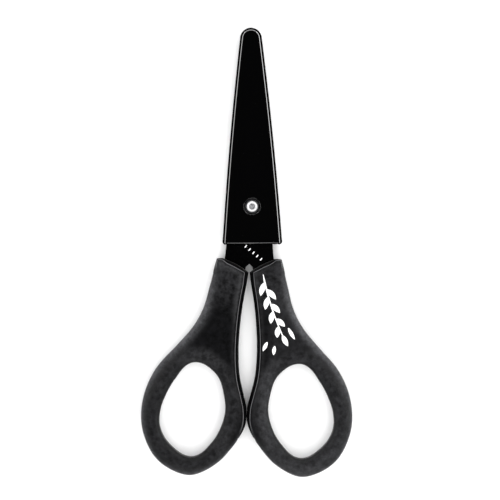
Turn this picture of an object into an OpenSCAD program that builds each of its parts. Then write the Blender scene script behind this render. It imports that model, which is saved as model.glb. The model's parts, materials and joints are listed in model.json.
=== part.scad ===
// Ring-handled craft scissors with a slip-on blade cover.
// Millimetres. +Y runs to the blade tips, +X to the front blade's handle, +Z out of the front face.
// The origin is the middle of the bounding box, on the surface that the handles rest on.
// Shapes are drawn about the pivot, with z = 0 where the blades meet, and moved there at the end.

/* [Handles] */
// Thickness of the handles, front to back
handle_t = 9; // [8:0.5:11]
// Thickness of the hard cores
core_t = 4.4; // [4:0.2:5]
// Width of the core's edge that the soft shell leaves bare
core_band = 1; // [0.8:0.1:1.2]
// Thickness of the soft shell round the outer side and the finger hole
shell_wall = 1.6; // [1.4:0.1:1.8]
// Edge radius of the soft shell beside the bare core
crisp_r = 0.6; // [0.4:0.1:0.8]
// Radius of the soft shell's outer shoulder
shoulder_r = 3; // [2.4:0.1:3]
// Radius of the soft shell into the finger hole
hole_edge_r = 2.5; // [2:0.1:2.5]

/* [Blades] */
// Thickness of each blade
blade_t = 1.5; // [1.2:0.1:1.6]
// Gap between the two blades' meeting faces
blade_gap = 0.04; // [0.02:0.01:0.06]
// Width of the ground bevel beside each cutting edge
bevel_w = 2.2; // [1.5:0.1:2.6]
// Thickness left at each cutting edge
edge_t = 0.25; // [0.2:0.05:0.4]

/* [Pivot] */
// Radius of the rivet's shank
shank_r = 1.35; // [1.2:0.05:1.5]
// Radial clearance of the shank in the blades
shank_clearance = 0.05; // [0.03:0.01:0.08]
// Outside radius of the rolled head
rolled_r = 1.78; // [1.7:0.02:1.9]
// Radius of the factory head at the back
back_head_r = 2.5; // [2.3:0.1:2.8]
// Outside radius of the washer
washer_r = 2.25; // [2.1:0.05:2.4]
// Thickness of the washer
washer_t = 0.25; // [0.2:0.05:0.3]

/* [Blade cover] */
// Height of the cover's tip above the pivot
cover_tip_y = 57.1; // [57:0.1:59]
// Height of the cover's mouth, below the pivot
cover_mouth_y = -12.2; // [-12.6:0.1:-12]
// Half the cover's width at the pivot, before its sides bow out
cover_half_w = 8.42; // [8.4:0.02:8.8]
// How far each side bows out between the mouth and the tip
cover_bow = 0.45; // [0:0.05:0.6]
// Taper of each side, in mm per mm of height
cover_taper = 0.092; // [0.09:0.001:0.094]
// Thickness of the cover, front to back
cover_t = 7; // [7:0.1:8]
// Wall thickness at the sides
cover_wall = 1; // [0.8:0.1:1]
// Wall thickness at the front and the back
cover_face = 0.9; // [0.8:0.05:0.9]
// Radius of the hole over the rivet
cover_hole_r = 2.6; // [2.5:0.05:2.8]

/* [Hidden] */
$fn = 64;

// The two halves mirror each other about the closing line, which runs between the finger rings.
// It passes this far from the pivot and leans by this angle.
closing_line_x = -0.63;
closing_line_turn = -1.34;

// Outline of a handle beside the closing line: x, y, how far the soft shell wraps the side there,
// from 0, where the core stays bare, to 1, and the angle of the finger hole's point that faces it.
HANDLE_OUTLINE = [
    [0.3, -22.4, 0, 117], [0.75, -25, 0, 119], [1.6, -29.8, 0, 122], [2.5, -37.2, 0, 127],
    [2.93, -46.5, 0, 136], [2.4, -54.5, 0, 151], [1, -60.6, 0, 165], [0.15, -64.4, 0, 176],
    [0.18, -68.9, 0.1, 189], [1.35, -72.2, 0.3, 201], [4.7, -77.3, 0.75, 222],
    [9.5, -82.4, 1, 245], [17.4, -86.1, 1, 270], [24.4, -84.2, 1, 292], [29.5, -80, 1, 312],
    [32.9, -73, 1, 337], [33.75, -66.6, 1, 357], [32.5, -59.1, 1, 20], [28.9, -51.7, 1, 45],
    [22.7, -44.7, 1, 68], [17.7, -38.8, 1, 83], [14.5, -32.9, 1, 93], [12.5, -25.5, 0.8, 101],
    [11.3, -19.5, 0.25, 107], [10.6, -17.4, 0, 109], [8.8, -16.65, 0, 111], [6.95, -17.2, 0, 112],
    [2.85, -19.15, 0, 114], [1, -20.55, 0, 115]
];

// The finger hole: its middle, and its radius every 30 degrees from +X
hole_centre = [17.2, -65.5];
HOLE_RADII = [10.4, 10, 11.6, 15.4, 13.9, 11.2, 10.3, 10.4, 12, 14.8, 13.3, 11.9];

// Outline of a blade with its tang, beside the closing line: two smooth sides and the straight
// heel between them, which crosses the other blade's heel where the handles part and then turns
// down into its own handle
SPINE = [[0.1, 52.6], [-0.6, 51.3], [-2.5, 42], [-4.4, 26], [-5.8, 8], [-6.5, -4], [-6.85, -10.6]];
HEEL = [[-6.75, -11.4], [1.05, -19.35], [1.3, -20.6]];
TANG_INSIDE = [[3.6, -24.5], [4.8, -33], [5.6, -42.5], [6.2, -44.4]];
TANG_END = [[7.6, -45.2], [9, -44.4]];
TANG_OUTSIDE = [[9.4, -42.5], [9.5, -36], [9.1, -26], [8.1, -18.5], [7.75, -15.8], [7.5, -13.3],
                [6.9, -7], [6, -1], [5.2, 5]];
EDGE_TIP = [0.4, 52.3];
ANCHOR_HOLES = [[7.3, -28.5], [7.5, -38.5]];
anchor_r = 1.4;

STEPS = 3;          // curve points for each outline point
HOLE_STEPS = 6;     // curve points for each radius of the finger hole
ROUND_STEPS = 3;    // facets in each quarter round of the soft shell
ARC_STEPS = 12;     // facets round the cover's tip on each side of the middle
SIDE_STEPS = 5;     // facets along each bowed side of the cover
through = 20;       // longer than any thickness that a cut goes through

shank_hole_r = shank_r + shank_clearance;
blade_front_z = blade_gap / 2 + blade_t;
pivot_play = 0.02;                  // between the blades and the heads
washer_z = blade_front_z + pivot_play;
rolled_z = washer_z + washer_t;
roll_inside_r = 0.9;                // the rolled head's hollow
roll_h = 0.53;                      // height of the rolled head above the washer
roll_foot_h = 0.08;                 // its straight foot
back_head_t = 0.75;
cover_edge_r = 1;                   // radius of the cover's edges
cover_corner_r = 1;                 // radius of its corners at the mouth

// ---- curves ----

function flat(p) = [p[0], p[1]];
function knot(a, b) = sqrt(norm(flat(b) - flat(a)));
function between(a, b, ta, tb, t) = ((tb - t) * a + (t - ta) * b) / (tb - ta);

// A point at u, from 0 to 1, on the smooth curve from b to c, with a and d on either side
function curve_point(a, b, c, d, u) =
    let (t1 = knot(a, b), t2 = t1 + knot(b, c), t3 = t2 + knot(c, d), t = t1 + u * (t2 - t1),
         ab = between(a, b, 0, t1, t), bc = between(b, c, t1, t2, t), cd = between(c, d, t2, t3, t))
    between(between(ab, bc, 0, t2, t), between(bc, cd, t1, t3, t), t1, t2, t);

// A closed smooth curve through the points
function closed_curve(p, steps) =
    let (n = len(p))
    [for (i = [0 : n - 1], k = [0 : steps - 1])
        curve_point(p[(i + n - 1) % n], p[i], p[(i + 1) % n], p[(i + 2) % n], k / steps)];

// An open smooth curve through the points, both ends included
function open_curve(p, steps) =
    let (n = len(p), start = 2 * p[0] - p[1], end = 2 * p[n - 1] - p[n - 2])
    concat([for (i = [0 : n - 2], k = [0 : steps - 1])
        curve_point(i == 0 ? start : p[i - 1], p[i], p[i + 1], i == n - 2 ? end : p[i + 2], k / steps)],
        [p[n - 1]]);

// Unit normals to the left of a closed curve, which point inwards when it runs anticlockwise
function left_normals(p) =
    let (n = len(p))
    [for (i = [0 : n - 1])
        let (d = flat(p[(i + 1) % n]) - flat(p[(i + n - 1) % n])) [-d[1], d[0]] / norm(d)];

// The curve moved along its normals, by one distance for each point
function moved(p, normals, distance) =
    [for (i = [0 : len(p) - 1]) flat(p[i]) + distance[i] * normals[i]];

// ---- the handle's shape ----

outline = closed_curve(HANDLE_OUTLINE, STEPS);
outline_in = left_normals(outline);
wrap = [for (p = outline) min(1, max(0, p[2]))];

// The finger hole's radius at an angle, smooth through HOLE_RADII
function hole_radius(angle) =
    let (n = len(HOLE_RADII), at = ((angle + 360) % 360) / 360 * n, i = floor(at), u = at - i,
         a = HOLE_RADII[(i + n - 1) % n], b = HOLE_RADII[i % n],
         c = HOLE_RADII[(i + 1) % n], d = HOLE_RADII[(i + 2) % n])
    b + u * (c - a + u * (2 * a - 5 * b + 4 * c - d + u * (3 * b - a - 3 * c + d))) / 2;

function hole_point(angle) = hole_centre + hole_radius(angle) * [cos(angle), sin(angle)];
hole = [for (i = [0 : len(HOLE_RADII) * HOLE_STEPS - 1])
    hole_point(i * 360 / len(HOLE_RADII) / HOLE_STEPS)];

// The point of the finger hole that faces each point of the outline
hole_beside = [for (i = [0 : len(HANDLE_OUTLINE) - 1], k = [0 : STEPS - 1])
    let (a = HANDLE_OUTLINE[i][3], b = HANDLE_OUTLINE[(i + 1) % len(HANDLE_OUTLINE)][3])
    hole_point(a + (b - a + 360) % 360 * k / STEPS)];
hole_out = -1 * left_normals(hole_beside);

// Where the wrap starts and ends, shell and core nearly meet, so that no notch shows between them
shell_edge = moved(outline, outline_in, [for (w = wrap) core_band * max(0, 1 - 1.8 * w)]);
core_edge = moved(outline, outline_in, [for (w = wrap) shell_wall * max(0, 1.8 * w - 0.8)]);
core_hole = moved(hole, left_normals(hole), [for (p = hole) -shell_wall]);

// A ring of the soft shell at angle a of its edge round, on the front (side 1) or the back (-1)
function shell_ring(a, side, edge, normals, radii) =
    [for (i = [0 : len(edge) - 1])
        let (p = edge[i] + normals[i] * radii[i] * (1 - sin(a)))
        [p[0], p[1], side * (handle_t / 2 - radii[i] * (1 - cos(a)))]];

quarter = [for (k = [0 : ROUND_STEPS]) 90 * k / ROUND_STEPS];
edge_radii = [for (w = wrap) crisp_r + (shoulder_r - crisp_r) * w];
hole_radii = [for (w = wrap) hole_edge_r];

shell_rings = concat(
    [for (a = quarter) shell_ring(a, -1, shell_edge, outline_in, edge_radii)],
    [for (a = quarter) shell_ring(90 - a, 1, shell_edge, outline_in, edge_radii)],
    [for (a = quarter) shell_ring(a, 1, hole_beside, hole_out, hole_radii)],
    [for (a = quarter) shell_ring(90 - a, -1, hole_beside, hole_out, hole_radii)]
);

// A closed skin over rings that follow each other round a section
module ring_skin(rings) {
    m = len(rings);
    n = len(rings[0]);
    points = [for (ring = rings, p = ring) p];
    function at(j, i) = (j % m) * n + i % n;
    faces = [for (j = [0 : m - 1], i = [0 : n - 1], half = [0, 1])
        half == 0 ? [at(j, i), at(j + 1, i), at(j, i + 1)]
                  : [at(j, i + 1), at(j + 1, i), at(j + 1, i + 1)]];
    polyhedron(points, faces, convexity = 10);
}

// ---- placing ----

// A point of a half in the pivot's frame: side is 1 for the front half and -1 for the rear half
function pivot_frame(p, side) =
    let (x = side * p[0], c = cos(closing_line_turn), s = sin(closing_line_turn))
    [closing_line_x + x * c - p[1] * s, x * s + p[1] * c];

all_points = [for (p = outline, side = [-1, 1]) pivot_frame(p, side)];
all_x = [for (p = all_points) p[0]];
all_y = [for (p = all_points) p[1]];
box_x = (min(all_x) + max(all_x)) / 2;
box_y = (min(all_y) + cover_tip_y) / 2;

// The pivot's frame moved to the model's origin
module placed() {
    translate([-box_x, -box_y, handle_t / 2]) children();
}

// A half's own frame in the pivot's: the rear half mirrors the front one
module half_frame(side) {
    translate([closing_line_x, 0, 0]) rotate(closing_line_turn)
        mirror([side < 0 ? 1 : 0, 0, 0]) children();
}

// ---- blades ----

module blade_outline() {
    polygon(concat(open_curve(SPINE, STEPS), HEEL, open_curve(TANG_INSIDE, STEPS), TANG_END,
                   open_curve(TANG_OUTSIDE, STEPS), [EDGE_TIP]));
}

// The wedge ground away beside the cutting edge, on the side away from the other blade
module edge_bevel() {
    heel = TANG_OUTSIDE[len(TANG_OUTSIDE) - 1];
    run = EDGE_TIP - heel;
    slope = atan((blade_t - edge_t) / bevel_w);
    past_end = 2;
    translate([heel[0], heel[1], edge_t]) rotate(atan2(run[1], run[0]) - 90)
        rotate([0, slope, 0]) translate([-through / 2, -past_end, 0])
            cube([through, norm(run) + 2 * past_end, through]);
}

module blade(side) {
    z = side > 0 ? blade_gap / 2 : -blade_gap / 2;
    difference() {
        half_frame(side) translate([0, 0, z]) mirror([0, 0, side < 0 ? 1 : 0]) difference() {
            linear_extrude(blade_t) blade_outline();
            edge_bevel();
            for (p = ANCHOR_HOLES)
                translate(p) cylinder(r = anchor_r, h = through, center = true);
        }
        cylinder(r = shank_hole_r, h = through, center = true);
    }
}

module front_blade() {
    color("#0b0b0d") placed() blade(1);
}

module rear_blade() {
    color("#0b0b0d") placed() blade(-1);
}

// ---- pivot ----

// Semi-tubular rivet: a factory head at the back, and a hollow end rolled over the washer
module pivot_rivet() {
    roll = (rolled_r - roll_inside_r) / 2;
    roll_z = rolled_z + roll_foot_h;
    back_z = -blade_front_z - pivot_play;
    BACK_HEAD = [[0, -back_head_t], [0.6 * back_head_r, -0.83 * back_head_t],
                 [0.9 * back_head_r, -0.47 * back_head_t], [back_head_r, -0.16 * back_head_t],
                 [back_head_r, 0], [shank_r, 0]];
    HOLLOW = [[roll_inside_r - 0.05, -0.6], [0, -0.8]];
    color("#b9bcc0") placed() rotate_extrude() polygon(concat(
        [for (p = BACK_HEAD) [p[0], back_z + p[1]]],
        [[shank_r, rolled_z]],
        [for (a = [0 : 20 : 180])
            [roll_inside_r + roll + roll * cos(a), roll_z + (roll_h - roll_foot_h) * sin(a)]],
        [for (p = HOLLOW) [p[0], rolled_z + p[1]]]
    ));
}

module rivet_washer() {
    color("#8f9296") placed() translate([0, 0, washer_z]) difference() {
        cylinder(r = washer_r, h = washer_t);
        cylinder(r = shank_r, h = through, center = true);
    }
}

// ---- handles ----

// The hard core: a flat ring-ended plate that closes round the tang and fills its anchor holes
module handle_core(side) {
    tang_z = blade_gap / 2;
    placed() half_frame(side) mirror([0, 0, side < 0 ? 1 : 0]) difference() {
        linear_extrude(core_t, center = true) difference() {
            polygon(core_edge);
            polygon(core_hole);
        }
        translate([0, 0, tang_z]) linear_extrude(blade_t) difference() {
            blade_outline();
            for (p = ANCHOR_HOLES)
                translate(p) circle(anchor_r);
        }
    }
}

module front_handle_core() {
    color("#131315") handle_core(1);
}

module rear_handle_core() {
    color("#131315") handle_core(-1);
}

// The soft shell over the core's front, back, outer side and finger hole
module handle_grip(side) {
    placed() half_frame(side) difference() {
        ring_skin(shell_rings);
        linear_extrude(core_t, center = true) difference() {
            polygon(core_edge);
            polygon(core_hole);
        }
    }
}

module front_handle_grip() {
    color("#2e2e30") handle_grip(1);
}

module rear_handle_grip() {
    color("#2e2e30") handle_grip(-1);
}

// ---- blade cover ----

cover_tip_r = (cover_half_w - cover_taper * cover_tip_y)
    * cos(atan(cover_taper)) / (1 - sin(atan(cover_taper)));
cover_tip_start = cover_tip_y - cover_tip_r;

// Half the cover's width at a height, drawn in by inset: straight tapers, bowed out in the middle
function cover_half_width(y, inset) =
    let (t = (y - cover_mouth_y) / (cover_tip_start - cover_mouth_y))
    cover_half_w - cover_taper * y + cover_bow * 4 * t * (1 - t) - inset / cos(atan(cover_taper));

// The cover's outline, drawn in by inset from its sides and tip, with an arc round the tip
module cover_outline(inset, mouth_y, corner_r) {
    side_turn = atan(cover_taper);
    corner_y = mouth_y + corner_r;
    mouth_w = cover_half_width(mouth_y, inset);
    on_diagonal = 1 - sin(45);
    right = concat(
        [[mouth_w - corner_r, mouth_y],
         [mouth_w - on_diagonal * corner_r, mouth_y + on_diagonal * corner_r]],
        [for (k = [0 : SIDE_STEPS - 1])
            let (y = corner_y + (cover_tip_start - corner_y) * k / SIDE_STEPS)
            [cover_half_width(y, inset), y]]);
    tip = [for (k = [-ARC_STEPS : ARC_STEPS])
        let (a = 90 + (90 - side_turn) * k / ARC_STEPS)
        [(cover_tip_r - inset) * cos(a), cover_tip_start + (cover_tip_r - inset) * sin(a)]];
    left = [for (k = [len(right) - 1 : -1 : 0]) [-right[k][0], right[k][1]]];
    polygon(concat(right, tip, left));
}

// One layer of the rounded outside, down from the widest one by angle a of the edge round
module cover_layer(a) {
    inset = cover_edge_r * (1 - cos(a));
    half_t = cover_t / 2 - cover_edge_r * (1 - sin(a));
    linear_extrude(2 * half_t, center = true)
        cover_outline(inset, cover_mouth_y + inset, cover_corner_r);
}

module blade_cover() {
    past_mouth = 2;
    square_corner = 0.01;
    color("#08080a") placed() difference() {
        hull() {
            cover_layer(0);
            cover_layer(30);
            cover_layer(60);
            cover_layer(90);
        }
        linear_extrude(cover_t - 2 * cover_face, center = true)
            cover_outline(cover_wall, cover_mouth_y - past_mouth, square_corner);
        cylinder(r = cover_hole_r, h = through, center = true);
    }
}

front_blade();
rear_blade();
pivot_rivet();
rivet_washer();
front_handle_core();
front_handle_grip();
rear_handle_core();
rear_handle_grip();
blade_cover();
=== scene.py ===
"""Looks of a pair of ring-handled scissors: handles, gloss blade cover, rivet, blades and print.

Shapes are drawn in millimetres about the pivot, with z = 0 where the blades meet, as the CAD is.
"""

import json
import math

import bmesh
import bpy
import numpy as np
from mathutils import Euler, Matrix, Vector, geometry, noise

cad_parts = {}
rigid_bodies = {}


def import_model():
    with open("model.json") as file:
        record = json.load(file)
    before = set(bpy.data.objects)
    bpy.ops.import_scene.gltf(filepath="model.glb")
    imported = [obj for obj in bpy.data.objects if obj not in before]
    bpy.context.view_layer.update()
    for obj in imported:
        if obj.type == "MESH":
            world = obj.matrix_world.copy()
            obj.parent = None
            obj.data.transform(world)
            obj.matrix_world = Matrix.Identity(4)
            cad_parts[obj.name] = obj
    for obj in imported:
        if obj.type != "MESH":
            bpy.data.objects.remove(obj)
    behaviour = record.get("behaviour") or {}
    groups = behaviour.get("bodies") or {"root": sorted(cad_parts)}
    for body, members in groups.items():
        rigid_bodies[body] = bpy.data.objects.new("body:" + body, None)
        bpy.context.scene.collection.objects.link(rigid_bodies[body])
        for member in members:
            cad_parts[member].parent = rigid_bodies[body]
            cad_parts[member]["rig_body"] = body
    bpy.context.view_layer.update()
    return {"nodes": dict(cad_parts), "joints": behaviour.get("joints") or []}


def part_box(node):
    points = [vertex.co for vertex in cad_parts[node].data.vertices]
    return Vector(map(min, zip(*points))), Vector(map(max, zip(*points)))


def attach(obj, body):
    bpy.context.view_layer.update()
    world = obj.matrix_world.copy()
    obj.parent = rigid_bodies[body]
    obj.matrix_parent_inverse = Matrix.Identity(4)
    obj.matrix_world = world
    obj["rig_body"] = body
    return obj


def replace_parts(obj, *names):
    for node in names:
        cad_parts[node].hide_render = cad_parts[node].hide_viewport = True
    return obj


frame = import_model()

MM = 0.001
PIVOT = Vector(frame["joints"][0]["pos_m"])

# The two halves mirror each other about the closing line between the finger rings
CLOSING_X = -0.63
CLOSING_TURN = math.radians(-1.34)
SIDES = {"front": 1, "rear": -1}

# Outline of a handle: x, y, and how far the soft shell wraps the side
HANDLE_OUTLINE = [
    (0.3, -22.4, 0), (0.75, -25, 0), (1.6, -29.8, 0), (2.5, -37.2, 0), (2.93, -46.5, 0),
    (2.4, -54.5, 0), (1, -60.6, 0), (0.15, -64.4, 0), (0.18, -68.9, 0.1), (1.35, -72.2, 0.3),
    (4.7, -77.3, 0.75), (9.5, -82.4, 1), (17.4, -86.1, 1), (24.4, -84.2, 1), (29.5, -80, 1),
    (32.9, -73, 1), (33.75, -66.6, 1), (32.5, -59.1, 1), (28.9, -51.7, 1), (22.7, -44.7, 1),
    (17.7, -38.8, 1), (14.5, -32.9, 1), (12.5, -25.5, 0.8), (11.3, -19.5, 0.25),
    (10.6, -17.4, 0), (8.8, -16.65, 0), (6.95, -17.2, 0), (2.85, -19.15, 0), (1, -20.55, 0),
]

# The finger hole: its middle, and its radius every 30 degrees from +X
HOLE_CENTRE = Vector((17.2, -65.5))
HOLE_RADII = (10.4, 10, 11.6, 15.4, 13.9, 11.2, 10.3, 10.4, 12, 14.8, 13.3, 11.9)
CURVE_STEPS = 12        # curve points for each point of the handle's outline
HOLE_STEP_DEG = 1.5     # between the points round the finger hole

# The neck's end corners, beside the gap and outside: the outline rows that the straight runs to
# each corner start and end at, and where the corners are on the soft shell and on the core
CORNER_ROWS = ((27, 30), (23, 25))
GRIP_CORNERS = ((1.36, -21.05), (10.15, -17.05))
CORE_CORNERS = ((0.14, -21.05), (10.35, -16.75))
NECK_SIDE_X = 10.7      # the neck's outer side lies beyond this
NECK_SET_IN = 0.2       # how much further in that side is at its end than the outline says

HANDLE_HALF_T = 4.5
CORE_HALF_T = 2.2
CORE_BAND = 1.0         # width of the core that the soft shell leaves bare
BAND_LOSS = 0.68        # share of that band which is covered at the neck's outer corner
SHELL_WALL = 1.6
WRAP_RATE = 1.8         # how fast the bare band closes as the soft shell wraps the side
CRISP_R = 0.45          # edge radius of the soft shell beside the bare core
SHOULDER_R = 4.2        # its shoulder where it wraps the side of the neck
RING_SHOULDER_R = 2.6   # and the side of the ring
SHOULDER_DEPTH = 3.4    # how far from the flats the shoulder reaches at most
HOLE_EDGE_R = 2.5
MIN_FLAT = 0.5          # left between the shoulder and the finger hole's edge
CORE_EDGE_R = 0.5
WEB_DIP = 0.7           # how far the front of the web lies below the ring and the neck's end

GRIP_STEPS = 8          # facets in each quarter round of the soft shell
GRIP_SPACING = 0.55     # between the points of the soft shell's flats
CORE_SPACING = 1.5      # and of the core's

# The soft shell's loops beside the bare core that get a painted highlight, counted from its back
# flat
LIP_HIGHLIGHT_LOOPS = [5, 6, 7, 11, 12, 13]
WALL_SHEEN = 0.3         # painted sheen on the side wall, where the shoulder's is 1
HOLE_EDGE_SHADE = 0.6  # how much painted shade darkens the finger hole's rounded edge, where the web's is 1
GLOW = 0.12             # painted highlight along the soft shell's inner side, and how far it reaches in
GLOW_REACH = 2.1
NECK_GLOW = 0.14        # what the rear neck has beyond that
NECK_GLOW_REACH = 1.0

COVER_TIP_Y = 57.1
COVER_MOUTH_Y = -12.2
COVER_HALF_W = 8.42     # at the pivot, before the sides bow out
COVER_TAPER = 0.092     # of each side, in mm per mm of height
COVER_BOW = 0.45
COVER_HALF_T = 3.5
COVER_WALL = 1.0        # thickness at the sides
COVER_FACE = 0.9        # and at the front and back
COVER_HOLE_R = 2.6
COVER_HOLE_FLARE = 0.18
COVER_EDGE_R = 2.0
CAVITY_EDGE_R = 0.3
PAST_FACE = 2.0         # how far a cutter runs past the face that it cuts


# ---- curves ----

def curve_point(a, b, c, d, u):
    """A point at u on the smooth curve from b to c. The first two numbers are x and y."""
    def gap(p, q):
        return math.sqrt(math.dist(p[:2], q[:2]))

    a, b, c, d = (np.array(p, float) for p in (a, b, c, d))
    t1 = gap(a, b)
    t2 = t1 + gap(b, c)
    t3 = t2 + gap(c, d)
    t = t1 + u * (t2 - t1)

    def between(p, q, tp, tq):
        return ((tq - t) * p + (t - tp) * q) / (tq - tp)

    ab, bc, cd = between(a, b, 0, t1), between(b, c, t1, t2), between(c, d, t2, t3)
    return between(between(ab, bc, 0, t2), between(bc, cd, t1, t3), t1, t2)


def closed_curve(points, steps):
    """The smooth closed curve through the points, with that many steps for each of them."""
    n = len(points)
    return np.array([
        curve_point(points[i - 1], points[i], points[(i + 1) % n], points[(i + 2) % n], k / steps)
        for i in range(n) for k in range(steps)
    ])


def left_normals(loop):
    """Unit normals to the left of a closed loop, which point inwards if it runs anticlockwise."""
    along = np.roll(loop, -1, axis=0) - np.roll(loop, 1, axis=0)
    normals = np.stack([-along[:, 1], along[:, 0]], axis=1)
    return normals / np.linalg.norm(normals, axis=1)[:, None]


def hole_radius(angle):
    """The finger hole's radius at an angle in degrees, smooth through HOLE_RADII."""
    n = len(HOLE_RADII)
    at = angle % 360 / 360 * n
    i = int(at)
    u = at - i
    a, b, c, d = (HOLE_RADII[(i + k) % n] for k in (-1, 0, 1, 2))
    return b + u * (c - a + u * (2 * a - 5 * b + 4 * c - d + u * (3 * b - a - 3 * c + d))) / 2


def hole_point(angle):
    """The point of the finger hole's edge at an angle in degrees."""
    r = hole_radius(angle)
    a = math.radians(angle)
    return (HOLE_CENTRE.x + r * math.cos(a), HOLE_CENTRE.y + r * math.sin(a))


def smoothstep(x, low, high):
    """0 below low, 1 above high and smooth between them."""
    t = np.clip((x - low) / (high - low), 0, 1)
    return t * t * (3 - 2 * t)


# ---- meshes ----

def in_pivot_frame(points):
    """Points about the pivot, in millimetres, as places in the frame."""
    return [PIVOT + Vector(p) * MM for p in points]


def in_half(points, side):
    """Points beside the closing line, moved to the front half (1) or mirrored to the rear (-1)."""
    c, s = math.cos(CLOSING_TURN), math.sin(CLOSING_TURN)
    return in_pivot_frame([
        (CLOSING_X + side * x * c - y * s, side * x * s + y * c, z) for x, y, z in points
    ])


def linked(name, data):
    """A new object in the scene."""
    made = bpy.data.objects.new(name, data)
    bpy.context.scene.collection.objects.link(made)
    return made


def solid_mesh(name, points, faces):
    """A closed mesh from places in the frame, with its faces turned outwards."""
    mesh = bpy.data.meshes.new(name)
    mesh.from_pydata(points, [], faces)
    bm = bmesh.new()
    bm.from_mesh(mesh)
    bmesh.ops.recalc_face_normals(bm, faces=bm.faces)
    bm.to_mesh(mesh)
    bm.free()
    return mesh


def shade(mesh, sharp_deg):
    """Smooth shading, with edges sharper than an angle left crisp."""
    mesh.shade_smooth()
    mesh.set_sharp_from_angle(angle=math.radians(sharp_deg))


def make_piece(name, points, faces, material, body, sharp_deg=35):
    """A mesh piece from places in the frame, riding on a body."""
    mesh = solid_mesh(name, points, faces)
    shade(mesh, sharp_deg)
    mesh.materials.append(material)
    piece = linked(name, mesh)
    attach(piece, body)
    return piece


def inside(points, loop):
    """Which points lie inside a closed loop."""
    x, y = points[:, 0], points[:, 1]
    within = np.zeros(len(points), bool)
    for (x0, y0), (x1, y1) in zip(loop, np.roll(loop, -1, axis=0)):
        crosses = (y0 > y) != (y1 > y)
        if crosses.any():
            within ^= crosses & (x < (x1 - x0) * (y - y0) / ((y1 - y0) or 1e-12) + x0)
    return within


def filled(outer, hole, spacing):
    """Triangles between an outer loop and an optional hole, with a grid of points inside.

    Returns the inner points and the triangles, numbered outer first, then hole, then inner."""
    loops = [outer] if hole is None else [outer, hole]
    border = np.concatenate(loops)
    low, high = outer.min(0), outer.max(0)
    rows = np.arange(low[1], high[1], spacing * math.sqrt(0.75))
    grid = np.array([
        (x + (k % 2) * spacing / 2, y)
        for k, y in enumerate(rows) for x in np.arange(low[0], high[0], spacing)
    ])
    keep = inside(grid, outer)
    if hole is not None:
        keep &= ~inside(grid, hole)
    grid = grid[keep]
    nearest = np.array([np.hypot(*(border - p).T).min() for p in grid])
    grid = grid[nearest > 0.6 * spacing]
    edges, start = [], 0
    for loop in loops:
        n = len(loop)
        edges += [(start + i, start + (i + 1) % n) for i in range(n)]
        start += n
    points = np.concatenate([border, grid])
    within_loops = 1
    _, _, tris, origin, _, _ = geometry.delaunay_2d_cdt(
        [Vector(p) for p in points], edges, [], within_loops, 1e-7)
    tris = np.array([[origin[i][0] for i in t] for t in tris])
    if hole is not None:
        tris = tris[~inside(points[tris].mean(axis=1), hole)]
    return grid, [tuple(t) for t in tris.tolist()]


def plate(outer_loops, hole_loops, spacing):
    """A closed plate. Each list of loops runs round an edge: the outer one from the back face to
    the front one, and the hole's from the front to the back. Returns its points and faces."""
    n, m = len(outer_loops[0]), len(hole_loops[0])
    points = [p for loop in outer_loops + hole_loops for p in loop]
    first_hole = n * len(outer_loops)
    faces = []
    for count, start, size in ((len(outer_loops), 0, n), (len(hole_loops), first_hole, m)):
        for j in range(count - 1):
            for i in range(size):
                a, b = start + j * size + i, start + j * size + (i + 1) % size
                faces.append((a, b, b + size, a + size))
    front = (n * (len(outer_loops) - 1), first_hole, outer_loops[-1], hole_loops[0])
    back = (0, first_hole + m * (len(hole_loops) - 1), outer_loops[0], hole_loops[-1])
    for outer_start, hole_start, outer, hole in (front, back):
        z = outer[0][2]
        grid, tris = filled(np.array(outer)[:, :2], np.array(hole)[:, :2], spacing)
        inner_start = len(points)
        points += [(x, y, z) for x, y in grid]

        def number(i):
            if i < n:
                return outer_start + i
            return hole_start + i - n if i < n + m else inner_start + i - n - m

        faces += [tuple(number(i) for i in t) for t in tris]
    return points, faces


def edge_loops(loop, normals, radius, half_t, steps, depth=None):
    """Loops round an edge from the back flat to the front one, rounded by a radius at each
    point. Where depth is given, the round reaches only that far from each flat."""
    depth = radius if depth is None else depth
    angles = np.linspace(0, math.pi / 2, steps + 1)
    back = [(a, -1) for a in angles]
    front = [(a, 1) for a in angles[::-1]]
    loops = []
    for a, face in back + front:
        at = loop + normals * (radius * (1 - math.sin(a)))[:, None]
        z = face * (half_t - depth * (1 - math.cos(a)))
        loops.append([(x, y, h) for (x, y), h in zip(at, z)])
    return loops


def lathe(profile, ring=False, segments=96):
    """Points and faces of a solid turned about the pivot, from (radius, z) pairs off the axis.
    The ends of its profile are capped, or joined to each other in a ring."""
    points = [
        (r * math.cos(a), r * math.sin(a), z)
        for r, z in profile for a in np.linspace(0, 2 * math.pi, segments, endpoint=False)
    ]
    faces = [
        (j * segments + i, j * segments + (i + 1) % segments,
         (j + 1) * segments + (i + 1) % segments, (j + 1) * segments + i)
        for j in range(len(profile) - 1) for i in range(segments)
    ]
    last = len(points) - segments
    if ring:
        faces += [
            (last + i, last + (i + 1) % segments, (i + 1) % segments, i) for i in range(segments)
        ]
    else:
        faces += [tuple(range(segments)), tuple(range(last, len(points)))]
    return points, faces


# ---- materials ----

def new_material(name, colour, roughness, **sockets):
    """A Principled material. Returns it with its node tree and shader."""
    material = bpy.data.materials.new(name)
    material.use_nodes = True
    tree = material.node_tree
    shader = tree.nodes["Principled BSDF"]
    shader.inputs["Base Color"].default_value = (*colour, 1)
    shader.inputs["Roughness"].default_value = roughness
    for socket, value in sockets.items():
        shader.inputs[socket.replace("_", " ")].default_value = value
    return material, tree, shader


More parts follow.
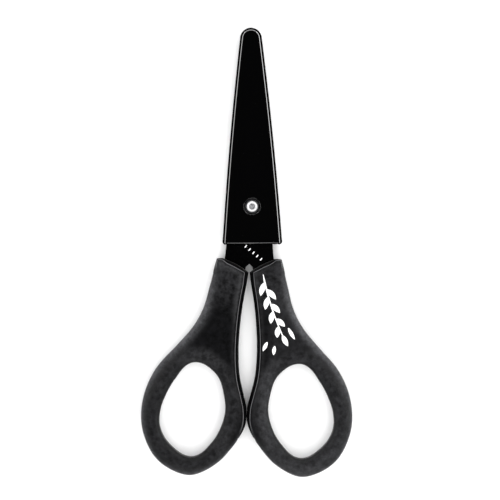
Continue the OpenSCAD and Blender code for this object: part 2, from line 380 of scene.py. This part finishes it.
def object_noise(tree, scale, detail=4, roughness=0.6, stretch=(1, 1, 1)):
    """Noise in the object's own place, with scale in features per metre."""
    where = tree.nodes.new("ShaderNodeTexCoord")
    mapping = tree.nodes.new("ShaderNodeMapping")
    mapping.inputs["Scale"].default_value = stretch
    texture = tree.nodes.new("ShaderNodeTexNoise")
    texture.inputs["Scale"].default_value = scale
    texture.inputs["Detail"].default_value = detail
    texture.inputs["Roughness"].default_value = roughness
    tree.links.new(where.outputs["Object"], mapping.inputs["Vector"])
    tree.links.new(mapping.outputs["Vector"], texture.inputs["Vector"])
    return texture.outputs["Fac"]


def ramp(tree, value, stops):
    """Maps a value through colour stops: (place, (r, g, b))."""
    node = tree.nodes.new("ShaderNodeValToRGB")
    band = node.color_ramp
    while len(band.elements) < len(stops):
        band.elements.new(0.5)
    for element, (place, colour) in zip(band.elements, stops):
        element.position = place
        element.color = (*colour, 1)
    tree.links.new(value, node.inputs["Fac"])
    return node.outputs["Color"]


def grey_ramp(tree, value, low, high, start=0.3, end=0.7):
    """Maps a value from start to end on to the greys from low to high."""
    return ramp(tree, value, [(start, (low,) * 3), (end, (high,) * 3)])


def add_bump(tree, shader, height, strength, distance):
    """Bump from a height, with its distance in metres."""
    bump = tree.nodes.new("ShaderNodeBump")
    bump.inputs["Strength"].default_value = strength
    bump.inputs["Distance"].default_value = distance
    tree.links.new(height, bump.inputs["Height"])
    tree.links.new(bump.outputs["Normal"], shader.inputs["Normal"])


def attribute(tree, name):
    """A number stored on the mesh's points."""
    node = tree.nodes.new("ShaderNodeAttribute")
    node.attribute_name = name
    return node.outputs["Fac"]


def mixed(tree, amount, first, second):
    """The first colour going over to the second by amount. Each is a socket or (r, g, b)."""
    node = tree.nodes.new("ShaderNodeMix")
    node.data_type = "RGBA"
    tree.links.new(amount, node.inputs["Factor"])
    for name, colour in (("A", first), ("B", second)):
        if isinstance(colour, tuple):
            node.inputs[name].default_value = (*colour, 1)
        else:
            tree.links.new(colour, node.inputs[name])
    return node.outputs["Result"]


def soft_grip_material():
    """Charcoal soft-touch rubber: mottled and grainy, with painted shade in the recessed web and
    round the finger holes, painted sheen and lighter patches on the rims, and a painted highlight
    on the lip where it meets the core."""
    material, tree, shader = new_material(
        "soft_grip", (0.012, 0.012, 0.013), 0.5, Specular_IOR_Level=0.22, Sheen_Weight=0.22,
        Sheen_Roughness=0.35)
    cloud = object_noise(tree, 640, detail=7, roughness=0.78)
    raised = ramp(tree, cloud, [(0.4, (0.0006, 0.0006, 0.0007)), (0.61, (0.0142, 0.0142, 0.0158))])
    # painted shade: a darker copy of the mottling for the recessed web and the finger hole's edge
    recess_shade_tone = ramp(tree, cloud, [(0.4, (0.0002, 0.0002, 0.0003)), (0.61, (0.0024, 0.0024, 0.003))])
    colour = mixed(tree, attribute(tree, "recess_shade"), raised, recess_shade_tone)
    # painted sheen on the rims and lighter patches over the faces, from the same pale copy of the
    # mottling
    sheen_and_patch_tone = ramp(tree, cloud, [(0.4, (0.045, 0.045, 0.049)), (0.61, (0.1, 0.1, 0.108))])
    colour = mixed(tree, attribute(tree, "rim"), colour, sheen_and_patch_tone)
    # painted highlight: a pale grey on the lip beside the core and along the inner side
    colour = mixed(tree, attribute(tree, "lip_highlight"), colour, (0.14, 0.14, 0.146))
    tree.links.new(colour, shader.inputs["Base Color"])
    patches = object_noise(tree, 700, detail=3)
    tree.links.new(grey_ramp(tree, patches, 0.46, 0.56), shader.inputs["Roughness"])
    add_bump(tree, shader, object_noise(tree, 2600, detail=3), 0.5, 0.00012)
    return material


def core_material():
    """Hard black moulding under the grip."""
    material, tree, shader = new_material("core_plastic", (0.001, 0.001, 0.0012), 0.3)
    patches = object_noise(tree, 700)
    tree.links.new(grey_ramp(tree, patches, 0.25, 0.4), shader.inputs["Roughness"])
    add_bump(tree, shader, object_noise(tree, 3000, detail=2), 0.12, 0.00004)
    return material


def cover_material():
    """High-gloss black moulding with faint hairline scuffs."""
    material, tree, shader = new_material(
        "cover_plastic", (0.0004, 0.0004, 0.0005), 0.08, IOR=1.9)
    scuffs = object_noise(tree, 260, detail=6, roughness=0.75, stretch=(6, 0.6, 1))
    tree.links.new(grey_ramp(tree, scuffs, 0.04, 0.1, 0.45, 0.75), shader.inputs["Roughness"])
    add_bump(tree, shader, object_noise(tree, 60, detail=1), 0.04, 0.0002)
    return material


def blade_material():
    """Black-coated steel with a faint lengthwise grain."""
    material, tree, shader = new_material("blade_coating", (0.0005, 0.0005, 0.0006), 0.2)
    grain = object_noise(tree, 500, detail=4, stretch=(5, 0.25, 1))
    tree.links.new(grey_ramp(tree, grain, 0.14, 0.24), shader.inputs["Roughness"])
    add_bump(tree, shader, grain, 0.05, 0.00003)
    return material


def pivot_distance(tree):
    """The distance from the pivot's axis, in millimetres."""
    where = tree.nodes.new("ShaderNodeTexCoord")
    about = tree.nodes.new("ShaderNodeMapping")
    about.inputs["Location"].default_value = (-PIVOT.x / MM, -PIVOT.y / MM, 0)
    about.inputs["Scale"].default_value = (1 / MM, 1 / MM, 0)
    tree.links.new(where.outputs["Object"], about.inputs["Vector"])
    length = tree.nodes.new("ShaderNodeVectorMath")
    length.operation = "LENGTH"
    tree.links.new(about.outputs["Vector"], length.inputs[0])
    return length.outputs["Value"]


def rivet_material():
    """Bright rolled steel, dull and pitted in the hollow where it was struck."""
    material, tree, shader = new_material("rivet_steel", (0.8, 0.8, 0.82), 0.25, Metallic=0.3)
    bright_from, dull_within = 1.15, 0.85
    hollow = tree.nodes.new("ShaderNodeMapRange")
    hollow.inputs["From Min"].default_value = bright_from
    hollow.inputs["From Max"].default_value = dull_within
    tree.links.new(pivot_distance(tree), hollow.inputs["Value"])
    marks = object_noise(tree, 2600, detail=4, roughness=0.7)
    dull = ramp(tree, marks, [(0.38, (0.06, 0.06, 0.065)), (0.6, (0.42, 0.42, 0.43))])
    colour = mixed(tree, hollow.outputs["Result"], (0.95, 0.95, 0.96), dull)
    tree.links.new(colour, shader.inputs["Base Color"])
    tree.links.new(grey_ramp(tree, marks, 0.16, 0.36), shader.inputs["Roughness"])
    add_bump(tree, shader, marks, 0.2, 0.00008)
    return material


def washer_material():
    """Dull steel with a turned grain."""
    material, tree, shader = new_material("washer_steel", (0.16, 0.16, 0.17), 0.3, Metallic=0.5)
    marks = object_noise(tree, 1800, detail=4, roughness=0.7)
    tree.links.new(grey_ramp(tree, marks, 0.22, 0.4), shader.inputs["Roughness"])
    shades = ramp(tree, marks, [(0.3, (0.03, 0.03, 0.032)), (0.7, (0.1, 0.1, 0.105))])
    tree.links.new(shades, shader.inputs["Base Color"])
    add_bump(tree, shader, marks, 0.15, 0.0001)
    return material


def ink_material():
    """Matt white print, a little uneven where it is thin."""
    material, tree, shader = new_material("white_print", (0.9, 0.9, 0.9), 0.6)
    shades = grey_ramp(tree, object_noise(tree, 1500), 0.8, 0.92)
    tree.links.new(shades, shader.inputs["Base Color"])
    return material


SOFT_GRIP = soft_grip_material()
CORE = core_material()
COVER = cover_material()
BLADE = blade_material()
RIVET = rivet_material()
WASHER = washer_material()
INK = ink_material()


# ---- handles ----

CURVE = closed_curve(HANDLE_OUTLINE, CURVE_STEPS)
OUTLINE = CURVE[:, :2]
OUTLINE[:, 0] -= (
    NECK_SET_IN * smoothstep(OUTLINE[:, 1], -27, -22) * (OUTLINE[:, 0] > NECK_SIDE_X))
OUTLINE_IN = left_normals(OUTLINE)
WRAP = np.clip(CURVE[:, 2], 0, 1)
HOLE = np.array([hole_point(a) for a in np.arange(0, 360, HOLE_STEP_DEG)])
HOLE_OUT = -left_normals(HOLE)


def crisp_corner(loop, first_row, last_row, corner):
    """A loop round the handle with straight runs from one outline row to a corner and from
    there to another row, and the corner just eased."""
    at = np.arange(first_row * CURVE_STEPS, last_row * CURVE_STEPS + 1) % len(loop)
    start, end = loop[at[0]], loop[at[-1]]
    to_corner, onward = math.dist(start, corner), math.dist(corner, end)
    along = np.linspace(0, to_corner + onward, len(at))
    run = np.stack([
        np.interp(along, (0, to_corner, to_corner + onward), (start[i], corner[i], end[i]))
        for i in (0, 1)
    ], axis=1)
    run[1:-1] = (run[:-2] + 2 * run[1:-1] + run[2:]) / 4
    crisp = loop.copy()
    crisp[at] = run
    return crisp


def drawn_in(band, corners):
    """The handle's outline drawn in by a band at each point, with crisp corners at the neck."""
    edge = OUTLINE + OUTLINE_IN * band[:, None]
    for rows, corner in zip(CORNER_ROWS, corners):
        edge = crisp_corner(edge, *rows, corner)
    return edge


def beyond_hole(x, y):
    """How far points lie outside the finger hole's edge."""
    from_centre = np.hypot(x - HOLE_CENTRE.x, y - HOLE_CENTRE.y)
    angle = np.degrees(np.arctan2(y - HOLE_CENTRE.y, x - HOLE_CENTRE.x))
    return from_centre - np.array([hole_radius(a) for a in np.atleast_1d(angle)])


def web_dip(x, y):
    """How far the grip's front dips below its flat level in the web between neck and ring."""
    off_ring = smoothstep(beyond_hole(x, y), 2.7, 5.8)
    up_neck = smoothstep(y, -36, -24)
    return WEB_DIP * off_ring * (1 - up_neck)


def front_share(z):
    """1 on the front flat, fading to 0 at the handle's middle."""
    return np.clip(z / HANDLE_HALF_T, 0, 1) ** 2


def lighter_patches(half, points):
    """How much lighter a grip's faces are made: round the front ring, most beside the gap and low
    down, and on that half's neck; above and low down beside the rear hole; and, as painted rim
    light, at both necks' outer corners."""
    x, y = points[:, 0], points[:, 1]
    beyond = beyond_hole(x, y)
    on_ring = 1 - smoothstep(beyond, 3.5, 6.5)
    above = np.clip((y - HOLE_CENTRE.y) / 17, 0, 1) ** 2
    below = np.clip((HOLE_CENTRE.y - y) / 19, 0, 1)
    beside_gap = np.exp(-((x - 6.5) / 3) ** 2)
    # painted rim light at the neck's outer corner
    corner = smoothstep(x, 7.5, 10.5) * smoothstep(y, -25, -20)
    if half == "rear":
        return on_ring * (0.12 * beside_gap * below + 0.06 * above) + 0.12 * corner
    low_down = below * smoothstep(beyond, 0, 4.5)
    ring = 0.03 * smoothstep(x, 2, 6) + 0.16 * np.maximum(beside_gap, low_down)
    neck = 0.08 * smoothstep(x, 5, 9) * smoothstep(-y, 24, 30)
    return on_ring * ring + (1 - on_ring) * neck + 0.08 * corner


def shoulder_radius():
    """The soft shell's edge radius at each point of the outline: crisp beside the bare core, and
    where it wraps the side, as round as there is room for."""
    to_hole = np.array([np.hypot(*(HOLE - p).T).min() for p in OUTLINE])
    widest = RING_SHOULDER_R + (SHOULDER_R - RING_SHOULDER_R) * smoothstep(
        OUTLINE[:, 1], -66, -52)
    shoulder = np.minimum(widest, to_hole - HOLE_EDGE_R - MIN_FLAT)
    return CRISP_R + (shoulder - CRISP_R) * WRAP


def put_shading(grip, half, points, edge, dip):
    """Gives each point of a grip what its material reads: the painted shade of the recessed web
    and the finger hole's edge, the painted highlight on its lip and inner side, and the painted
    sheen on its rim with lighter patches. Points come as plate() orders them."""
    tilt = np.sin(np.linspace(0, math.pi / 2, GRIP_STEPS + 1))
    tilts = np.concatenate([tilt, tilt[::-1]])
    hole_start = len(tilts) * len(edge)
    flats = np.s_[hole_start + len(tilts) * len(HOLE):]

    # painted shade: darker as the web dips and as the finger hole's edge turns towards its wall
    recess_shade = dip / WEB_DIP
    recess_shade[hole_start:flats.start] += HOLE_EDGE_SHADE * np.repeat(tilts, len(HOLE))

    # painted highlight on the lip loops and along the gap side's flats
    lip_highlight = np.zeros(len(points))
    loops = lip_highlight[:hole_start].reshape(len(tilts), len(edge))
    loops[LIP_HIGHLIGHT_LOOPS] = np.clip(1 - 3 * WRAP, 0, 1)
    gap_side = edge[WRAP < 0.3]
    to_side = np.array([np.hypot(*(gap_side - p).T).min() for p in points[flats, :2]])
    up_neck = smoothstep(points[flats, 1], -40, -32) * (half == "rear")
    reach = GLOW_REACH + NECK_GLOW_REACH * up_neck
    lip_highlight[flats] = (GLOW + NECK_GLOW * up_neck) * np.clip(1 - to_side / reach, 0, 1) ** 2

    # painted sheen: lighter as the rim's shoulder turns towards the side, less on the side wall
    rim = np.zeros(len(points))
    share = np.ones(len(tilts))
    share[[GRIP_STEPS, GRIP_STEPS + 1]] = WALL_SHEEN
    fall = 2.5 + 2 * smoothstep(-OUTLINE[:, 1], 45, 60)
    rim[:hole_start] = (share[:, None] * tilts[:, None] ** fall * WRAP).ravel()
    # lighter patches over the faces, with painted rim light at the necks' outer corners
    rim = np.maximum(rim, lighter_patches(half, points[:, :2]))

    for name, values in (("recess_shade", np.clip(recess_shade, 0, 1)), ("lip_highlight", lip_highlight), ("rim", rim)):
        grip.data.attributes.new(name, "FLOAT", "POINT").data.foreach_set("value", values)


def handle_grip(half):
    """The soft shell of a handle."""
    at_corner = smoothstep(OUTLINE[:, 0], 6, 9.5) * (OUTLINE[:, 1] > -22)
    band = CORE_BAND * (1 - BAND_LOSS * at_corner) * np.maximum(0, 1 - WRAP_RATE * WRAP)
    edge = drawn_in(band, GRIP_CORNERS)
    radius = shoulder_radius()
    outer = edge_loops(
        edge, OUTLINE_IN, radius, HANDLE_HALF_T, GRIP_STEPS, np.minimum(radius, SHOULDER_DEPTH))
    hole = edge_loops(
        HOLE, HOLE_OUT, np.full(len(HOLE), HOLE_EDGE_R), HANDLE_HALF_T, GRIP_STEPS)
    points, faces = plate(outer, hole[::-1], GRIP_SPACING)
    points = np.array(points)
    dip = web_dip(points[:, 0], points[:, 1]) * front_share(points[:, 2])
    points[:, 2] -= dip
    grip = make_piece(f"{half}_grip", in_half(points, SIDES[half]), faces, SOFT_GRIP,
                      f"{half}_half", 60)
    put_shading(grip, half, points, edge, dip)
    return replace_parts(grip, f"{half}_handle_grip")


def handle_core(half):
    """The hard moulding under a soft shell, bare along the gap and at the neck's end."""
    covered = SHELL_WALL * np.maximum(0, WRAP_RATE * WRAP - (WRAP_RATE - 1))
    edge = drawn_in(covered, CORE_CORNERS)
    around = HOLE + HOLE_OUT * SHELL_WALL
    outer = edge_loops(edge, OUTLINE_IN, np.full(len(edge), CORE_EDGE_R), CORE_HALF_T, 4)
    hole = edge_loops(around, HOLE_OUT, np.full(len(around), CORE_EDGE_R), CORE_HALF_T, 2)
    points, faces = plate(outer, hole[::-1], CORE_SPACING)
    points = in_half(points, SIDES[half])
    core = make_piece(f"{half}_core", points, faces, CORE, f"{half}_half")
    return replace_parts(core, f"{half}_handle_core")


# ---- blade cover ----

COVER_TURN = math.atan(COVER_TAPER)
COVER_TIP_R = ((COVER_HALF_W - COVER_TAPER * COVER_TIP_Y)
               * math.cos(COVER_TURN) / (1 - math.sin(COVER_TURN)))
COVER_TIP_START = COVER_TIP_Y - COVER_TIP_R


def cover_half_width(y, inset):
    """Half the cover's width at a height, drawn in by inset square to its side."""
    t = (y - COVER_MOUTH_Y) / (COVER_TIP_START - COVER_MOUTH_Y)
    bow = COVER_BOW * 4 * t * (1 - t)
    return COVER_HALF_W - COVER_TAPER * y + bow - inset / math.cos(COVER_TURN)


def cover_outline(inset, mouth_y, corner_r, arc_steps=24, corner_steps=6, side_steps=24):
    """The cover's outline, drawn in by inset: bowed sides, an arc round the tip and rounded
    corners at the mouth."""
    half_w = cover_half_width(mouth_y, inset)
    right = [
        (half_w - corner_r * (1 - math.sin(a)), mouth_y + corner_r * (1 - math.cos(a)))
        for a in np.linspace(0, math.pi / 2, corner_steps + 1)
    ]
    sides = [
        (cover_half_width(y, inset), y)
        for y in np.linspace(mouth_y + corner_r, COVER_TIP_START, side_steps + 1)[1:-1]
    ]
    tip_r = COVER_TIP_R - inset
    tip = [
        (tip_r * math.cos(a), COVER_TIP_START + tip_r * math.sin(a))
        for a in np.linspace(COVER_TURN, math.pi - COVER_TURN, 2 * arc_steps + 1)
    ]
    left = [(-x, y) for x, y in (right + sides)[::-1]]
    return np.array(right + sides + tip + left)


def cover_block(half_t, edge_r, steps, inset=0.0, mouth_y=COVER_MOUTH_Y, corner_r=1.0,
                mouth_share=0.4):
    """A closed block with the cover's outline and rounded edges, tighter by mouth_share at the
    mouth. Returns points and faces."""
    angles = np.linspace(0, math.pi / 2, steps + 1)
    layers = [(a, -1) for a in angles[::-1]] + [(a, 1) for a in angles]
    loops = []
    for a, face in layers:
        step_in = edge_r * (1 - math.cos(a))
        z = face * (half_t - edge_r * (1 - math.sin(a)))
        shape = cover_outline(
            inset + step_in, mouth_y + mouth_share * step_in, max(corner_r - step_in, 0.02))
        loops.append([(x, y, z) for x, y in shape])
    n = len(loops[0])
    points = [p for loop in loops for p in loop]
    faces = [
        (j * n + i, j * n + (i + 1) % n, (j + 1) * n + (i + 1) % n, (j + 1) * n + i)
        for j in range(len(loops) - 1) for i in range(n)
    ]
    faces += [tuple(range(n))[::-1], tuple(range(n * (len(loops) - 1), n * len(loops)))]
    return points, faces


def cutter(name, points, faces):
    """A solid used only to cut another one."""
    return linked(name, solid_mesh(name, in_pivot_frame(points), faces))


def cut(piece, *cutters):
    """Takes the cutters out of a piece and removes them."""
    for shape in cutters:
        modifier = piece.modifiers.new("cut", "BOOLEAN")
        modifier.operation = "DIFFERENCE"
        modifier.solver = "EXACT"
        modifier.object = shape
    graph = bpy.context.evaluated_depsgraph_get()
    mesh = bpy.data.meshes.new_from_object(piece.evaluated_get(graph))
    piece.modifiers.clear()
    piece.data = mesh
    for shape in cutters:
        bpy.data.objects.remove(shape)


def blade_cover():
    """The gloss sheath: a rounded block, hollow from its mouth, with a window over the rivet."""
    points, faces = cover_block(COVER_HALF_T, COVER_EDGE_R, 12)
    cover = make_piece("cover", in_pivot_frame(points), faces, COVER, "cover")
    cavity = cutter("cavity", *cover_block(
        COVER_HALF_T - COVER_FACE, CAVITY_EDGE_R, 3, COVER_WALL, COVER_MOUTH_Y - PAST_FACE,
        CAVITY_EDGE_R))
    flare = COVER_HOLE_FLARE
    bore = [
        (COVER_HOLE_R + flare, -COVER_HALF_T - PAST_FACE),
        (COVER_HOLE_R + flare, -COVER_HALF_T),
    ]
    bore += [
        (COVER_HOLE_R + flare * (1 - math.sin(a)), -COVER_HALF_T + flare * (1 - math.cos(a)))
        for a in np.linspace(0, math.pi / 2, 5)[1:]
    ]
    bore += [(r, -z) for r, z in bore[::-1]]
    cut(cover, cavity, cutter("rivet_window", *lathe(bore)))
    shade(cover.data, 30)
    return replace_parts(cover, "blade_cover")


# ---- blades ----

def softened(node, name, material, width):
    """A copy of a CAD node with its sharp edges eased, which stands for the node."""
    flat_deg, sharp_deg, shading_deg = 0.5, 28, 40
    source = frame["nodes"][node]
    mesh = source.data.copy()
    bm = bmesh.new()
    bm.from_mesh(mesh)
    bmesh.ops.remove_doubles(bm, verts=bm.verts, dist=0.001 * MM)
    bmesh.ops.dissolve_limit(
        bm, angle_limit=math.radians(flat_deg), verts=bm.verts, edges=bm.edges)
    sharp = [
        e for e in bm.edges
        if e.is_manifold and e.calc_face_angle() > math.radians(sharp_deg)
    ]
    bmesh.ops.bevel(
        bm, geom=sharp, offset=width, segments=2, affect="EDGES", profile=0.5,
        clamp_overlap=True)
    bm.to_mesh(mesh)
    bm.free()
    shade(mesh, shading_deg)
    mesh.materials.clear()
    mesh.materials.append(material)
    piece = linked(name, mesh)
    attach(piece, source["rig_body"])
    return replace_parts(piece, node)


# ---- pivot ----

SHANK_R = 1.35
AXIS_R = 0.02           # a turned profile ends this far off the axis


def heights(node):
    """A node's lowest and highest z about the pivot, and its radius, in millimetres."""
    low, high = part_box(node)
    return (low.z - PIVOT.z) / MM, (high.z - PIVOT.z) / MM, (high.x - low.x) / 2 / MM


def pivot_rivet():
    """A domed factory head at the back, a plain shank and, at the front, a rolled rim round a
    pitted hollow."""
    bottom, top, head_r = heights("pivot_rivet")
    _, washer_top, _ = heights("rivet_washer")
    roll_in, roll_out = 0.92, 1.76
    pit_roughness, roll_roughness = 0.16, 0.035
    middle, half = (roll_in + roll_out) / 2, (roll_out - roll_in) / 2
    head = [(AXIS_R, bottom), (1.3, bottom + 0.1), (head_r - 0.35, bottom + 0.34),
            (head_r - 0.08, bottom + 0.52), (head_r, bottom + 0.64), (head_r, bottom + 0.73)]
    shank = [(SHANK_R, bottom + 0.75), (SHANK_R, washer_top + 0.02)]
    roll = [
        (middle + half * math.cos(a), washer_top + 0.1 + (top - washer_top - 0.1) * math.sin(a))
        for a in np.linspace(-0.15, math.pi, 15)
    ]
    pit = [(0.84, washer_top - 0.02), (0.6, washer_top - 0.12), (0.3, washer_top - 0.16),
           (AXIS_R, washer_top - 0.17)]
    points, faces = lathe(head + shank + roll + pit)
    rough = []
    for x, y, z in points:
        r = math.hypot(x, y)
        lift = 0
        if z > washer_top - 0.3 and r < roll_out:
            depth = pit_roughness if r < roll_in else roll_roughness
            lift = depth * noise.noise(Vector((x * 2.4, y * 2.4, 3.1)))
        rough.append((x, y, min(z + lift, top)))
    rivet = make_piece("rivet", in_pivot_frame(rough), faces, RIVET, "pivot", 50)
    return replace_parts(rivet, "pivot_rivet")


def rivet_washer():
    """A thin ring under the rolled head, with its edges eased."""
    bottom, top, outer = heights("rivet_washer")
    inner = SHANK_R + 0.01
    ease = 0.06
    profile = [(inner, bottom), (outer - ease, bottom), (outer, bottom + ease),
               (outer, top - ease), (outer - 0.3 * ease, top - 0.3 * ease), (outer - ease, top),
               (inner, top)]
    points, faces = lathe(profile, ring=True)
    washer = make_piece("washer", in_pivot_frame(points), faces, WASHER, "pivot")
    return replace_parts(washer, "rivet_washer")


# ---- print ----

INK_T = 0.05            # how far the ink stands proud of its face, and reaches below it


def ink_shape(name, strips, height, place, body):
    """Thin ink. Each strip is a list of cross lines, each a list of points; height gives z. The
    first strip lies lower than the others, which cross it."""
    points, faces = [], []
    for k, rows in enumerate(strips):
        m, n = len(rows), len(rows[0])
        lift = INK_T if k else 0.5 * INK_T
        top = len(points)
        flat = [p for row in rows for p in row]
        points += [(x, y, height(x, y) + lift) for x, y in flat]
        points += [(x, y, height(x, y) - INK_T) for x, y in flat]
        under = top + m * n
        for start in (top, under):
            faces += [
                (start + j * n + i, start + j * n + i + 1, start + (j + 1) * n + i + 1,
                 start + (j + 1) * n + i)
                for j in range(m - 1) for i in range(n - 1)
            ]
        rim = [j * n for j in range(m)] + [(m - 1) * n + i for i in range(1, n)]
        rim += [j * n + n - 1 for j in range(m - 2, -1, -1)] + list(range(n - 2, 0, -1))
        faces += [
            (top + a, top + b, under + b, under + a) for a, b in zip(rim, rim[1:] + rim[:1])
        ]
    return make_piece(name, place(points), faces, INK, body)


def leaf(base, angle, length, width, bend=0.0):
    """Cross lines of a pointed oval leaf from its base, at an angle in degrees."""
    rows = []
    heading = math.radians(angle)
    x, y = base
    steps = 14
    start_share = 0.06
    tip_half = 0.02
    for k in range(steps + 1):
        share = min(1, start_share + (1 - start_share) * k / steps)
        half = max(tip_half, width / 2 * math.sin(math.pi * share) ** 0.8)
        across = (-math.sin(heading), math.cos(heading))
        rows.append([
            (x + across[0] * half * s, y + across[1] * half * s) for s in (-1, -0.5, 0, 0.5, 1)
        ])
        x += math.cos(heading) * length / steps
        y += math.sin(heading) * length / steps
        heading += math.radians(bend) / steps
    return rows


def printed_sprig():
    """A plain sprig: a curved stem with alternate leaves, and three loose ones below it."""
    start, pull, end = Vector((4.5, -21.6)), Vector((6.4, -31.0)), Vector((11.0, -41.0))
    stem_steps = 30
    leaf_places = (0.14, 0.26, 0.38, 0.5, 0.62, 0.74, 0.86)
    loose = (((6.2, -43.2), -118, 3.2), ((8.6, -44.4), -100, 2.9), ((12.8, -38.6), -62, 4.2))

    def stem(t):
        return start * (1 - t) ** 2 + pull * 2 * t * (1 - t) + end * t * t

    def stem_angle(t):
        d = (pull - start) * (1 - t) + (end - pull) * t
        return math.degrees(math.atan2(d.y, d.x))

    rows = []
    for k in range(stem_steps + 1):
        t = k / stem_steps
        a = math.radians(stem_angle(t) + 90)
        half = (0.26 - 0.1 * t) * min(1, 0.3 + 6 * t)
        p = stem(t)
        rows.append([
            (p.x + s * half * math.cos(a), p.y + s * half * math.sin(a)) for s in (-1, 0, 1)
        ])
    strips = [rows]
    for k, t in enumerate(leaf_places):
        side = 1 if k % 2 else -1
        length = 4.6 - 1.2 * t
        strips.append(leaf(stem(t), stem_angle(t) + side * 40, length, 1.7, side * -22))
    strips.append(leaf(end, stem_angle(1), 3.8, 1.6, 8))
    strips += [leaf(base, angle, length, 1.15, 6) for base, angle, length in loose]

    def height(x, y):
        return HANDLE_HALF_T - float(web_dip(x, y)[0])

    return ink_shape("sprig_print", strips, height, lambda p: in_half(p, 1), "front_half")


def printed_ticks():
    """A row of plain ticks on the front blade, beside its heel."""
    start, end = Vector((-2.1, -12.75)), Vector((2.75, -16.9))
    along = (end - start).normalized()
    across = Vector((-along.y, along.x))
    count, half_long, half_wide = 5, 0.45, 0.16
    _, top, _ = heights("front_blade")
    strips = []
    for k in range(count):
        middle = start.lerp(end, k / (count - 1))
        strips.append([
            [tuple(middle + across * half_long * a + along * half_wide * b) for b in (-1, 1)]
            for a in (-1, 1)
        ])
    return ink_shape("tick_print", strips, lambda x, y: top, in_pivot_frame, "front_half")


# ---- the object ----

for half in SIDES:
    handle_grip(half)
    handle_core(half)
    softened(f"{half}_blade", f"{half}_coated_blade", BLADE, 0.06 * MM)
blade_cover()
pivot_rivet()
rivet_washer()
printed_sprig()
printed_ticks()


# ---- the stage ----

def floor():
    """A plain pale floor at the handles' backs, which glossy parts don't mirror."""
    half = 3.0
    mesh = bpy.data.meshes.new("floor")
    corners = [(-half, -half, 0), (half, -half, 0), (half, half, 0), (-half, half, 0)]
    mesh.from_pydata(corners, [], [(0, 1, 2, 3)])
    material, _, _ = new_material("floor_white", (0.92, 0.92, 0.92), 0.9)
    mesh.materials.append(material)
    plane = linked("floor", mesh)
    plane.visible_glossy = False


def softbox(name, azimuth, elevation, size, power, distance=0.9, glossy=True):
    """An area light that faces the object: azimuth 0 is at the object's handle end. A glossy one
    is seen only in reflections, and the others light only what is matt."""
    a, e = math.radians(azimuth), math.radians(elevation)
    light = bpy.data.lights.new(name, "AREA")
    light.shape = "RECTANGLE"
    light.size, light.size_y = size
    light.energy = power
    lamp = linked(name, light)
    lamp.location = distance * Vector(
        (math.sin(a) * math.cos(e), -math.cos(a) * math.cos(e), math.sin(e)))
    lamp.rotation_euler = lamp.location.to_track_quat("Z", "Y").to_euler()
    lamp.visible_glossy = glossy
    lamp.visible_diffuse = not glossy


def camera():
    """Straight overhead, turned a little clockwise, with the frame 160 mm wide at the blades."""
    data = bpy.data.cameras.new("camera")
    cam = linked("camera", data)
    height = 0.9
    frame_w = 0.160
    target = PIVOT + Vector((-0.767, -13.915, 0)) * MM
    cam.location = target + Vector((0, 0, height))
    cam.rotation_euler = Euler((0, 0, math.radians(-0.39)))
    data.lens = data.sensor_width * height / frame_w
    data.clip_end = 10
    bpy.context.scene.camera = cam


def dim_world():
    """White surroundings, just bright enough that no reflection is quite black."""
    world = bpy.data.worlds.new("world")
    world.use_nodes = True
    background = world.node_tree.nodes["Background"]
    background.inputs["Color"].default_value = (1, 1, 1, 1)
    background.inputs["Strength"].default_value = 0.01
    bpy.context.scene.world = world


floor()

# Low strips make the edge lines of the glossy parts, with a gap towards each handle-side corner
softbox("right_box", 103, 14, (1.5, 0.2), 6.7)
softbox("left_box", -103, 14, (1.5, 0.2), 5)
softbox("handle_box", 0, 14, (1.1, 0.2), 3.6)
softbox("tip_box", 180, 14, (1.8, 0.2), 5)
# High panels light the rest softly
softbox("handle_fill", 0, 56, (1.0, 1.4), 11, 1.0, glossy=False)
softbox("tip_fill", 180, 54, (1.4, 1.4), 7, 1.0, glossy=False)
softbox("right_fill", 90, 53, (1.4, 1.4), 10.5, 1.0, glossy=False)
softbox("left_fill", -90, 53, (1.4, 1.4), 7, 1.0, glossy=False)
dim_world()
camera()
bpy.context.scene.view_settings.view_transform = "Standard"
